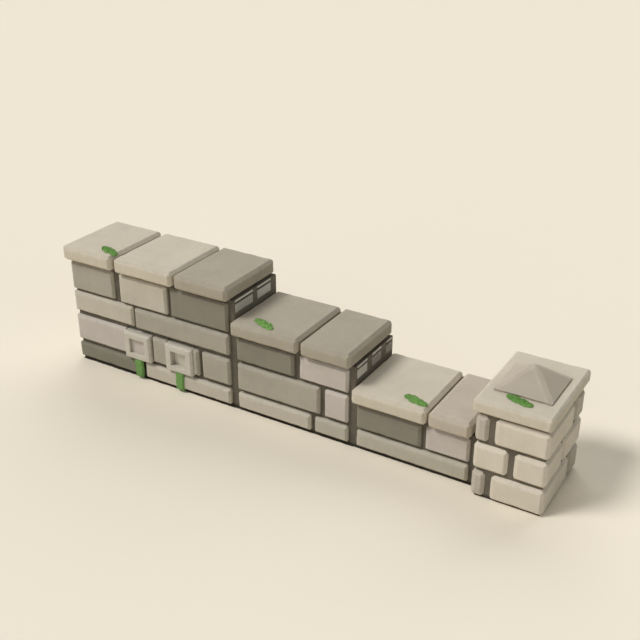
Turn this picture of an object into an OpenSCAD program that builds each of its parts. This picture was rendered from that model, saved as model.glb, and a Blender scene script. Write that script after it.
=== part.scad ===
// Stone retaining wall stepping down in three bays to a capped end pier
// Sizes are in millimetres, measured along the wall from the free end of the high coping

/* [Bays] */
// Length of the high bay
high_length = 1567; // [1300:1:2200]
// Length of the middle bay
middle_length = 992; // [800:1:1500]
// Length of the low bay
low_length = 914; // [750:1:1400]
// Top of the low coping above the ground
low_top = 500; // [450:1:620]
// Rise from one bay to the next
bay_rise = 250; // [210:1:300]

/* [Section] */
// Half depth from the middle plane to the coping front
coping_front = 333; // [300:1:380]
// Half depth from the middle plane to the coping back
coping_back = 302; // [290:1:340]
// Thickness of the coping stones
coping_thick = 120; // [90:1:140]
// Reach of the coping past the faces of the stones
coping_drip = 43; // [25:1:60]
// Distance the stones stand proud of the mortar
proud = 32; // [15:1:45]
// Play in how far one stone stands out from the next
face_play = 4; // [0:1:8]
// Depth of stone bedded in the mortar
bedded = 170; // [100:1:220]
// Chamfer round the stones
stone_chamfer = 18; // [8:1:24]
// Chamfer round the copings
coping_chamfer = 26; // [8:1:32]

/* [Courses] */
// Width of a mortar joint
joint = 30; // [20:1:36]
// Bed of mortar under the copings
coping_bed = 24; // [6:1:30]
// Lift of the base course in the lower bays
base_lift = 4; // [0:1:8]
// Height of the lowest stones above the ground
base_rise = 24; // [10:1:40]
// Height of the base course
base_height = 128; // [100:1:160]
// Height of the second course
second_height = 219; // [180:1:240]
// Height of the third course of the high bay
third_height = 170; // [140:1:190]
// Inset of the first stone from the start of its bay
start_inset = 26; // [18:1:36]
// Inset of the last stone from the end of its bay
finish_inset = 42; // [36:1:56]
// Further inset of the last stones beside the pier
pier_inset = 12; // [0:1:24]
// Setback of the coping ends from the step ends of the high, middle and low bay
coping_setback = [12, 6, 37]; // [0:1:50]

/* [Weep surrounds] */
// Width of a weep surround
weep_width = 257; // [220:1:280]
// Height of a weep surround
weep_height = 262; // [240:1:270]
// Width of the recess
recess_width = 144; // [100:1:160]
// Height of the recess
recess_height = 140; // [100:1:160]
// Distance a surround stands proud of the stones
weep_proud = 25; // [10:1:35]
// Depth of a surround bedded behind the stone faces
weep_bedded = 110; // [80:1:130]
// Depth of the recess from the front of its surround
recess_depth = 48; // [30:1:80]
// Depth of the first recess, which is shallow
shallow_depth = 25; // [15:1:60]
// Chamfer round a surround
weep_chamfer = 16; // [6:1:22]
// Margin from the second surround to the end of its stone
weep_margin = 47; // [30:1:60]
// Bed of mortar under a surround
weep_bed = 2; // [0:1:10]

/* [Ends and back] */
// Depth of an end stone bedded in the mortar
end_bedded = 36; // [20:1:40]
// Distance an end stone stands proud of the mortar
end_proud = 6; // [2:1:12]
// Mortar between a slip and the coping over it
slip_drop = 13; // [6:1:20]
// Height of the slips under the coping of a step end
slip_height = 16; // [10:1:22]
// Bed of the end stones above the next coping
end_bed = 29; // [15:1:36]
// Bed between the end stones and the slips
slip_bed = 6; // [4:1:10]
// Chamfer of the small stones
small_chamfer = 10; // [4:1:14]
// Distance the free end stones stand proud of the mortar
free_proud = 18; // [8:1:24]
// Depth of a back stone bedded in the mortar
back_bedded = 60; // [40:1:90]
// Distance a back stone stands proud of the mortar
back_proud = 13; // [6:1:20]

/* [Pier] */
// Width of the pier along the wall
pier_width = 490; // [420:1:560]
// Depth of the pier across the wall
pier_depth = 678; // [650:1:760]
// Distance the pier stands forward of the wall's middle
pier_forward = 26; // [0:1:40]
// Height of one pier course
pier_course = 190; // [160:1:220]
// Bed joint between pier courses
pier_joint = 18; // [12:1:28]
// Upright joint between pier stones
pier_gap = 38; // [20:1:46]
// Height of the lowest pier stones above the ground
pier_base = 8; // [4:1:20]
// Chamfer round the pier stones
pier_chamfer = 24; // [10:1:28]
// Reach of the cap past the front of the pier
cap_reach = 10; // [4:1:30]
// Reach of the cap past the back of the pier
cap_back_reach = 62; // [30:1:80]
// Reach of the cap over the wall beside the pier
cap_side_reach = 25; // [15:1:40]
// Reach of the cap past the free side of the pier
cap_end_reach = 5; // [2:1:30]
// Chamfer round the cap
cap_chamfer = 18; // [8:1:24]
// Thickness of the cap
cap_thick = 93; // [70:1:120]
// Side of the square base of the pyramid
pyramid_side = 384; // [300:1:440]
// Height of the pyramid
pyramid_height = 145; // [80:1:200]
// Cut along each hip of the pyramid
hip_cut = 26; // [10:1:40]
// Upright lip round the foot of the pyramid
pyramid_lip = 6; // [3:1:12]
// Mortar bed under the pyramid
pyramid_bed = 6; // [3:1:10]

/* [Hidden] */

// Bay starts along the wall and coping tops
middle_start = high_length;
low_start = middle_start + middle_length;
pier_start = low_start + low_length;
whole = pier_start + pier_width + cap_end_reach;
middle_top = low_top + bay_rise;
high_top = middle_top + bay_rise;
BAYS = [[0, high_length, high_top], [middle_start, middle_length, middle_top], [low_start, low_length, low_top]];

// Planes across the wall
stone_front = -(coping_front - coping_drip);
core_front = stone_front + proud;
stone_back = coping_back - 2;
core_back = stone_back - back_proud;
core_start = start_inset + free_proud;
core_depth = core_back - core_front;

// Beds of the courses shared by the bays
base_top = base_rise + base_height;
second_bed = base_top + joint;
second_top = second_bed + second_height;
third_bed = second_top + joint + 6;
third_top = third_bed + third_height;

// Places of the upright joints in each course, as a share of the bay and a share of the joint
HIGH = [
    [base_rise, base_top, [[0.439, 1.6]]],
    [second_bed, second_top, [[0.506, 0.5], [0.801, 0.9]]],
    [third_bed, third_top, [[0.406, 0.67]]],
    [third_top + joint * 0.6, high_top - coping_thick - coping_bed, [[0.31, 2.05], [0.63, 1.03]]]];
MIDDLE = [
    [base_rise + base_lift, base_top + base_lift, [[0.671, 1.03]]],
    [second_bed, second_top, [[0.749, 1.27]]],
    [second_top + joint * 0.8, middle_top - coping_thick - coping_bed, [[0.54, 1.47]]]];
LOW = [
    [base_rise + base_lift, base_top + base_lift, []],
    [base_top + joint * 0.8, low_top - coping_thick - coping_bed, [[0.58, 1.03]]]];
COURSES = [HIGH, MIDDLE, LOW];

// Joints between the copings of each bay
COPING_JOINTS = [[[0.3185, 0.85], [0.682, 0.6]], [[0.583, 0.57]], [[0.619, 0.45]]];

// Middles of the weep surrounds, one at the end of its stone and one inside the next
WEEP_JOINTS = HIGH[1][2];
WEEPS = [WEEP_JOINTS[0][0] * high_length - weep_width / 2,
    WEEP_JOINTS[1][0] * high_length - WEEP_JOINTS[1][1] * joint / 2 - weep_margin - weep_width / 2];
weep_low = base_top + weep_bed;
weep_front = stone_front - weep_proud;
weep_back = stone_front + weep_bedded;

// Stones of the step ends, as shares of the depth of the core
END_HIGH = [[0.03, 0.43], [0.54, 0.86]];
END_MIDDLE = [[0.05, 0.295], [0.43, 0.67], [0.815, 0.97]];

// Pier levels
pier_pitch = pier_course + pier_joint;
cap_bed = pier_base + 3 * pier_pitch;
cap_top = cap_bed + cap_thick;
pier_proud = pier_chamfer;
pier_half = pier_depth / 2;
pier_front = -pier_half - pier_forward;
pier_rear = pier_half - pier_forward;

STONE_LIGHT = [0.70, 0.65, 0.57];
STONE_MID = [0.58, 0.54, 0.46];
STONE_DARK = [0.44, 0.41, 0.35];
MORTAR = [0.30, 0.28, 0.24];

// Rectangle w by h with its corners cut, counted from the near left one
function cut_rect(w, h, c) = concat(
    c[0] > 0 ? [[0, c[0]], [c[0], 0]] : [[0, 0]],
    c[1] > 0 ? [[w - c[1], 0], [w, c[1]]] : [[w, 0]],
    c[2] > 0 ? [[w, h - c[2]], [w - c[2], h]] : [[w, h]],
    c[3] > 0 ? [[c[3], h], [0, h - c[3]]] : [[0, h]]);

// Start and end of stone i between the joints of a course
function stone_from(first, length, joints, i) = i == 0 ? first
    : first - start_inset + joints[i - 1][0] * length + joints[i - 1][1] * joint / 2;
function stone_to(first, length, joints, i, last) = i == len(joints) ? last
    : first - start_inset + joints[i][0] * length - joints[i][1] * joint / 2;

// Block with chamfers cut by three crossing profiles
module block(from, to, plan, face, section) {
    size = to - from;
    translate(from) intersection() {
        linear_extrude(size.z) polygon(cut_rect(size.x, size.y, plan));
        translate([0, size.y, 0]) rotate([90, 0, 0]) linear_extrude(size.y) polygon(cut_rect(size.x, size.z, face));
        rotate([90, 0, 90]) linear_extrude(size.x) polygon(cut_rect(size.y, size.z, section));
    }
}

// Stone with chamfers on its front only, bedded plain at the back
module faced(from, to, c) {
    k = c * 0.6;
    block(from, to, [c, c, 0, 0], [k, k, k, k], [c, 0, 0, c]);
}

// Stone with chamfers on every edge
module dressed(from, to, c) {
    block(from, to, [c, c, c, c], [c, c, c, c], [c, c, c, c]);
}

// Face stone i of a course in a bay
module face_stone(bay, course, i) {
    start = BAYS[bay][0];
    length = BAYS[bay][1];
    row = COURSES[bay][course];
    joints = row[2];
    first = start + start_inset;
    last = start + length - finish_inset - (bay == 2 ? pier_inset : 0);
    x0 = stone_from(first, length, joints, i);
    x1 = stone_to(first, length, joints, i, last);
    shift = face_play * ((bay * 5 + course * 3 + i * 2) % 3 - 1);
    faced([x0, stone_front - shift, row[0]], [x1, core_front + bedded, row[1]], stone_chamfer);
}

// Every face stone of a bay
module face_stones(bay) {
    for (course = [0 : len(COURSES[bay]) - 1])
        for (i = [0 : len(COURSES[bay][course][2])])
            face_stone(bay, course, i);
}

// Coping i of a bay
module coping(bay, i) {
    start = BAYS[bay][0];
    length = BAYS[bay][1];
    top = BAYS[bay][2];
    joints = COPING_JOINTS[bay];
    x0 = i == 0 ? start : start + joints[i - 1][0] * length + joints[i - 1][1] * joint / 2;
    x1 = i == len(joints) ? start + length - coping_setback[bay]
        : start + joints[i][0] * length - joints[i][1] * joint / 2;
    dressed([x0, -coping_front, top - coping_thick], [x1, coping_back, top], coping_chamfer);
}

// Space taken by a weep surround, and by its recess
module weep_box(i, w, h, front, back) {
    middle = weep_low + weep_height / 2;
    translate([WEEPS[i] - w / 2, front, middle - h / 2]) cube([w, back - front, h]);
}

// Surround block with chamfered front and an open recess
module weep_surround(i) {
    difference() {
        weep_block(i);
        weep_box(i, recess_width, recess_height, weep_front - 1, weep_back + 1);
    }
}

// Plug stone at the back of a recess
module weep_plug(i) {
    depth = i == 0 ? shallow_depth : recess_depth;
    weep_box(i, recess_width, recess_height, weep_front + depth, weep_back);
}

// Weep surround as a solid block
module weep_block(i) {
    faced([WEEPS[i] - weep_width / 2, weep_front, weep_low],
        [WEEPS[i] + weep_width / 2, weep_back, weep_low + weep_height], weep_chamfer);
}

// Both blocks, for the pockets that take them
module weep_pockets() {
    weep_block(0);
    weep_block(1);
}

// Small stones let into the end of a bay above the next coping, with slips over them
module end_row(x, low, high, spans) {
    for (s = spans) {
        y0 = core_front + s[0] * core_depth;
        y1 = core_front + s[1] * core_depth;
        slip = high - slip_drop - slip_height;
        end_stone(x, y0, y1, low + end_bed, slip - slip_bed, small_chamfer / 2);
        end_stone(x, y0, y1, slip, slip + slip_height, small_chamfer / 4);
    }
}

// One small end stone with chamfers on its outer face
module end_stone(x, y0, y1, z0, z1, c) {
    block([x - end_bedded, y0, z0], [x + end_proud, y1, z1], [0, c, c, 0], [0, c, c, 0], [0, 0, 0, 0]);
}

module end_high() { end_row(high_length, middle_top, high_top - coping_thick, END_HIGH); }
module end_middle() { end_row(low_start, low_top, middle_top - coping_thick, END_MIDDLE); }

// Stones of the free end behind the front ones, following the courses round the back corner
module end_left() {
    c = small_chamfer;
    y0 = core_front + bedded + joint;
    x1 = core_start + back_bedded;
    for (row = [0 : len(HIGH) - 1]) {
        split = y0 + (stone_back - y0) * (row % 2 == 0 ? 0.42 : 0.6);
        block([start_inset, y0, HIGH[row][0]], [x1, split - joint / 2, HIGH[row][1]],
            [c, 0, 0, c], [c, 0, 0, c], [0, 0, 0, 0]);
        block([start_inset, split + joint / 2, HIGH[row][0]], [x1, stone_back, HIGH[row][1]],
            [c, 0, c, c], [c, 0, 0, c], [0, c, c, 0]);
    }
}

// Plain stones of the back of a bay, following its courses
module back_stones(bay) {
    c = small_chamfer;
    start = BAYS[bay][0] + (bay == 0 ? core_start + back_bedded + joint : joint);
    finish = BAYS[bay][0] + BAYS[bay][1] - joint;
    y0 = core_back - back_bedded;
    for (row = [0 : len(COURSES[bay]) - 1]) {
        z0 = COURSES[bay][row][0];
        z1 = COURSES[bay][row][1];
        end = finish - (bay == 1 && z1 > low_top ? end_bedded : 0);
        split = start + (end - start) * (row % 2 == 0 ? 0.62 : 0.4);
        block([start, y0, z0], [split - joint / 2, stone_back, z1], [0, 0, c, c], [0, 0, 0, 0], [0, c, c, 0]);
        block([split + joint / 2, y0, z0], [end, stone_back, z1], [0, 0, c, c], [0, 0, 0, 0], [0, c, c, 0]);
    }
}

// Mortar core of a bay with ribs of pointing between its copings
module core_block(bay) {
    start = BAYS[bay][0];
    length = BAYS[bay][1];
    top = BAYS[bay][2];
    x0 = bay == 0 ? core_start : start;
    translate([x0, core_front, 0]) cube([start + length - x0, core_depth, top - coping_thick]);
    for (j = COPING_JOINTS[bay])
        translate([start + j[0] * length - j[1] * joint / 2, core_front, top - coping_thick])
            cube([j[1] * joint, core_depth, coping_thick - coping_chamfer * 1.5]);
}

// Stones of one pier course, split across and along the pier
module pier_stones(level, splits) {
    z0 = pier_base + level * pier_pitch;
    c = pier_chamfer;
    translate([0, -pier_forward, 0]) for (row = splits) {
        xs = pier_start + row[2] * pier_width;
        dressed([pier_start, row[0], z0], [xs - pier_gap / 2, row[1], z0 + pier_course], c);
        dressed([xs + pier_gap / 2, row[0], z0], [pier_start + pier_width, row[1], z0 + pier_course], c);
    }
}
LOWER = [[-pier_half, 0.42 * pier_half, 0.226], [0.42 * pier_half + pier_gap, pier_half, 0.79]];
CENTRE = [[-pier_half, -0.08 * pier_half, 0.513], [-0.08 * pier_half + pier_gap, pier_half, 0.42]];

module pier_lower() { pier_stones(0, LOWER); }
module pier_middle() { pier_stones(1, CENTRE); }
module pier_upper() { pier_stones(2, LOWER); }

// Mortar of the pier between its stones
module pier_mortar() {
    translate([pier_start + pier_proud, pier_front + pier_proud, 0])
        cube([pier_width - 2 * pier_proud, pier_depth - 2 * pier_proud, cap_bed]);
}

module cap_slab() {
    dressed([pier_start - cap_side_reach, pier_front - cap_reach, cap_bed],
        [whole, pier_rear + cap_back_reach, cap_top], cap_chamfer);
}

// Square of side s about the pyramid's middle with its corners cut, as a plate
module hip_plate(s, cut, z, h) {
    translate([-s / 2, -s / 2, z]) linear_extrude(h) polygon(cut_rect(s, s, [cut, cut, cut, cut]));
}

// Low pyramid with cut hips, a square lip and a bed that is set in by its own height
module pyramid_stone() {
    s = pyramid_side;
    bed = pyramid_bed;
    lip = bed + pyramid_lip;
    tip = 2 * hip_cut + 2;
    translate([(pier_start - cap_side_reach + whole) / 2, -pier_forward / 2, cap_top]) {
        hip_plate(s - 2 * bed, 0, 0, bed);
        hip_plate(s, 0, bed, pyramid_lip);
        hull() {
            hip_plate(s, hip_cut, lip, 1);
            hip_plate(tip, hip_cut, pyramid_height - 10, 2);
            hip_plate(tip / 4, 0, pyramid_height - 1, 1);
        }
    }
}

// Lay a piece about the middle of the whole length
module set_out() { translate([-whole / 2, 0, 0]) children(); }

module core_high() {
    color(MORTAR) set_out() difference() {
        core_block(0);
        face_stones(0);
        weep_pockets();
        end_left();
        end_high();
        back_stones(0);
    }
}
module core_middle() {
    color(MORTAR) set_out() difference() {
        core_block(1);
        face_stones(1);
        end_middle();
        back_stones(1);
    }
}
module core_low() {
    color(MORTAR) set_out() difference() {
        core_block(2);
        face_stones(2);
        back_stones(2);
    }
}
module pier_core() {
    color(MORTAR) set_out() difference() {
        pier_mortar();
        pier_lower();
        pier_middle();
        pier_upper();
    }
}

module high_coping_1() { color(STONE_LIGHT) set_out() coping(0, 0); }
module high_coping_2() { color(STONE_LIGHT) set_out() coping(0, 1); }
module high_coping_3() { color(STONE_MID) set_out() coping(0, 2); }
module middle_coping_1() { color(STONE_MID) set_out() coping(1, 0); }
module middle_coping_2() { color(STONE_MID) set_out() coping(1, 1); }
module low_coping_1() { color(STONE_LIGHT) set_out() coping(2, 0); }
module low_coping_2() { color(STONE_MID) set_out() coping(2, 1); }

module high_base_1() { color(STONE_DARK) set_out() face_stone(0, 0, 0); }
module high_base_2() { color(STONE_LIGHT) set_out() face_stone(0, 0, 1); }
module high_second_1() {
    color(STONE_LIGHT) set_out() difference() {
        face_stone(0, 1, 0);
        weep_pockets();
    }
}
module high_second_2() {
    color(STONE_MID) set_out() difference() {
        face_stone(0, 1, 1);
        weep_pockets();
    }
}
module high_second_3() { color(STONE_MID) set_out() face_stone(0, 1, 2); }
module high_third_1() { color(STONE_LIGHT) set_out() face_stone(0, 2, 0); }
module high_third_2() { color(STONE_MID) set_out() face_stone(0, 2, 1); }
module high_top_1() { color(STONE_MID) set_out() face_stone(0, 3, 0); }
module high_top_2() { color(STONE_LIGHT) set_out() face_stone(0, 3, 1); }
module high_top_3() { color(STONE_DARK) set_out() face_stone(0, 3, 2); }
module middle_base_1() { color(STONE_LIGHT) set_out() face_stone(1, 0, 0); }
module middle_base_2() { color(STONE_MID) set_out() face_stone(1, 0, 1); }
module middle_second_1() { color(STONE_MID) set_out() face_stone(1, 1, 0); }
module middle_second_2() { color(STONE_LIGHT) set_out() face_stone(1, 1, 1); }
module middle_top_1() { color(STONE_DARK) set_out() face_stone(1, 2, 0); }
module middle_top_2() { color(STONE_LIGHT) set_out() face_stone(1, 2, 1); }
module low_base_1() { color(STONE_MID) set_out() face_stone(2, 0, 0); }
module low_top_1() { color(STONE_DARK) set_out() face_stone(2, 1, 0); }
module low_top_2() { color(STONE_LIGHT) set_out() face_stone(2, 1, 1); }

module weep_surround_1() { color(STONE_LIGHT) set_out() weep_surround(0); }
module weep_surround_2() { color(STONE_LIGHT) set_out() weep_surround(1); }
module weep_plug_1() { color(STONE_MID) set_out() weep_plug(0); }
module weep_plug_2() { color(STONE_MID) set_out() weep_plug(1); }

module end_stones_left() { color(STONE_MID) set_out() end_left(); }
module end_stones_high() { color(STONE_MID) set_out() end_high(); }
module end_stones_middle() { color(STONE_MID) set_out() end_middle(); }
module back_stones_high() { color(STONE_MID) set_out() back_stones(0); }
module back_stones_middle() { color(STONE_MID) set_out() back_stones(1); }
module back_stones_low() { color(STONE_MID) set_out() back_stones(2); }

module pier_course_lower() { color(STONE_LIGHT) set_out() pier_lower(); }
module pier_course_middle() { color(STONE_LIGHT) set_out() pier_middle(); }
module pier_course_upper() { color(STONE_LIGHT) set_out() pier_upper(); }
module pier_cap() { color(STONE_LIGHT) set_out() cap_slab(); }
module pier_pyramid() { color(STONE_MID) set_out() pyramid_stone(); }

core_high();
core_middle();
core_low();
pier_core();
high_coping_1();
high_coping_2();
high_coping_3();
middle_coping_1();
middle_coping_2();
low_coping_1();
low_coping_2();
high_base_1();
high_base_2();
high_second_1();
high_second_2();
high_second_3();
high_third_1();
high_third_2();
high_top_1();
high_top_2();
high_top_3();
middle_base_1();
middle_base_2();
middle_second_1();
middle_second_2();
middle_top_1();
middle_top_2();
low_base_1();
low_top_1();
low_top_2();
weep_surround_1();
weep_surround_2();
weep_plug_1();
weep_plug_2();
end_stones_left();
end_stones_high();
end_stones_middle();
back_stones_high();
back_stones_middle();
back_stones_low();
pier_course_lower();
pier_course_middle();
pier_course_upper();
pier_cap();
pier_pyramid();
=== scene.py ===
"""Dress the stone retaining wall: weathered stones, mortar, moss and a plain studio."""

import logging
import math
import random
from dataclasses import dataclass, field
from enum import Enum
from functools import cache
from typing import ClassVar

import bmesh
import bpy
import numpy as np
from mathutils import Euler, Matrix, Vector, noise


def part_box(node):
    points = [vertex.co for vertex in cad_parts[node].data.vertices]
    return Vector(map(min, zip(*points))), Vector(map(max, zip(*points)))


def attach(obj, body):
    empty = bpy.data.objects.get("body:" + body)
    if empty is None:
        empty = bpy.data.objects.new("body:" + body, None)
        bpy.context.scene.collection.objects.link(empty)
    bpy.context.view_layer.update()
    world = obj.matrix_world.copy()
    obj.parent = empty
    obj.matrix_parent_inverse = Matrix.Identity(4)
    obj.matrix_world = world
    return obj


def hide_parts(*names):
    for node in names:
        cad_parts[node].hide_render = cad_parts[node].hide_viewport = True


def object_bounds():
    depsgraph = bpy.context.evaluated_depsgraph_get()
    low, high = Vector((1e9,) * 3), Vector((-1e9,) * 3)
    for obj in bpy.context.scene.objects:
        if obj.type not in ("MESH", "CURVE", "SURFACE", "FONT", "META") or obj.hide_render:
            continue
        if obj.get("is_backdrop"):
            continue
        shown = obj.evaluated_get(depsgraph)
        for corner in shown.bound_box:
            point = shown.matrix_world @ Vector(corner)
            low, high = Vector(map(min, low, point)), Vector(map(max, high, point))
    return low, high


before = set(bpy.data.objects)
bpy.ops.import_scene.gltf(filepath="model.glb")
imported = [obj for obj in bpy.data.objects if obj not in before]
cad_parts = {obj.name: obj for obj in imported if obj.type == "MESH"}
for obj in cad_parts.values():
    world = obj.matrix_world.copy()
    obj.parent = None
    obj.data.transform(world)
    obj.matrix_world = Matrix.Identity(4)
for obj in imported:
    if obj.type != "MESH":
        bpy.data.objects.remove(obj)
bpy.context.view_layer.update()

log = logging.getLogger("retaining_wall")

Colour = tuple[float, float, float, float]
Tree = bpy.types.ShaderNodeTree
Node = bpy.types.Node
Socket = bpy.types.NodeSocket
Values = dict[str | int, Socket | float | tuple[float, ...]]
Mesh = bmesh.types.BMesh
Point = bmesh.types.BMVert
Key = tuple[int, int]

WHITE: Colour = (1.0, 1.0, 1.0, 1.0)
# Brightest value of a channel of any finish
BRIGHTEST = 0.95
# Reflection of a dry matte surface
MATTE = 0.25
# Bend in degrees from which the shading of a stone and of soft growth breaks
CRISP = 12
SOFT = 60


def paint(red: int, green: int, blue: int) -> Colour:
    """Turn a display colour into the linear colour that a shader takes.

    Args:
        red: Red from 0 to 255.
        green: Green from 0 to 255.
        blue: Blue from 0 to 255.

    Returns:
        The linear colour with full alpha.
    """
    linear = []
    for part in (red / 255, green / 255, blue / 255):
        linear.append(part / 12.92 if part <= 0.04045 else ((part + 0.055) / 1.055) ** 2.4)
    return (*linear, 1.0)


def scaled(colour: Colour, factor: float) -> Colour:
    """Lighten or darken a linear colour.

    Args:
        colour: The linear colour.
        factor: How many times as bright.

    Returns:
        The changed colour, kept below white.
    """
    return tuple(min(BRIGHTEST, part * factor) for part in colour[:3]) + (1.0,)


class Slot(Enum):
    """Material slots of the stones in the part's record."""

    LIGHT = "light_stone"
    OLIVE = "olive_stone"
    DARK = "dark_stone"
    CREAM = "cream_stone"


@dataclass(frozen=True)
class Wiring:
    """A node tree, with short ways to add what the finishes need.

    Attributes:
        tree: The node tree.
    """

    tree: Tree

    def fill(self, node: Node, values: Values) -> None:
        """Set inputs of a node, or feed them from other nodes.

        Args:
            node: The node.
            values: Value or source of each input.
        """
        for label, value in values.items():
            if isinstance(value, Socket):
                self.tree.links.new(value, node.inputs[label])
            else:
                node.inputs[label].default_value = value

    def add(self, kind: str, values: Values, **settings: object) -> Node:
        """Add a node.

        Args:
            kind: Blender's name of the node, without ShaderNode.
            values: Value or source of each input.
            settings: Value of each setting by Blender's name.

        Returns:
            The node.
        """
        node = self.tree.nodes.new(f"ShaderNode{kind}")
        for name, value in settings.items():
            setattr(node, name, value)
        self.fill(node, values)
        return node

    def group(self, tree: Tree, values: Values) -> dict[str, Socket]:
        """Add a node group.

        Args:
            tree: The group.
            values: Value or source of each input.

        Returns:
            The sockets of its outputs by name.
        """
        return dict(self.add("Group", values, node_tree=tree).outputs.items())

    def place(self) -> Socket:
        """Add the place on the wall in metres.

        Returns:
            The socket with the place.
        """
        return self.add("TexCoord", {}).outputs["Object"]

    def texture(
        self, scale: Socket | float, detail: float, rough: float, shift: Socket | float = 0.0
    ) -> Socket:
        """Add a noise texture in the wall's own metres.

        Args:
            scale: Noise cells to the metre.
            detail: Number of finer layers.
            rough: Strength of the finer layers.
            shift: Which of the many like noises it is.

        Returns:
            The socket with the noise.
        """
        values = {"Vector": self.place(), "W": shift, "Scale": scale, "Detail": detail}
        values["Roughness"] = rough
        return self.add("TexNoise", values, noise_dimensions="4D").outputs["Fac"]

    def spread(
        self, source: Socket, low: float, high: float, to_low: float = 0.0, to_high: float = 1.0
    ) -> Socket:
        """Spread part of a value's span over a new span.

        Args:
            source: Socket of the value.
            low: Value that becomes to_low.
            high: Value that becomes to_high.
            to_low: Result at low.
            to_high: Result at high.

        Returns:
            The socket with the result.
        """
        values = {"Value": source, "From Min": low, "From Max": high}
        values |= {"To Min": to_low, "To Max": to_high}
        return self.add("MapRange", values, interpolation_type="SMOOTHSTEP").outputs[0]

    def joined(self, first: Socket, second: Socket | float, operation: str = "MULTIPLY") -> Socket:
        """Join two values by one operation.

        Args:
            first: Socket of the first value.
            second: Socket of the second value, or a number.
            operation: Blender's name of the operation.

        Returns:
            The socket with the result.
        """
        return self.add("Math", {0: first, 1: second}, operation=operation).outputs[0]

    def mix(self, mask: Socket, first: Socket, second: Socket | Colour) -> Socket:
        """Mix two colours by a mask.

        Args:
            mask: Socket of the mask.
            first: Socket of the colour where the mask is 0.
            second: Colour where the mask is 1, or its socket.

        Returns:
            The socket with the mixed colour.
        """
        values = {"Factor": mask, 6: first, 7: second}
        return self.add("Mix", values, data_type="RGBA").outputs[2]

    def bump(self, height: Socket, strength: float, depth: float) -> Socket:
        """Add fine relief.

        Args:
            height: Socket of the height.
            strength: Strength of the relief.
            depth: Depth of the relief.

        Returns:
            The socket with the bent normal.
        """
        values = {"Height": height, "Strength": strength, "Distance": depth}
        return self.add("Bump", values).outputs["Normal"]


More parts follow.
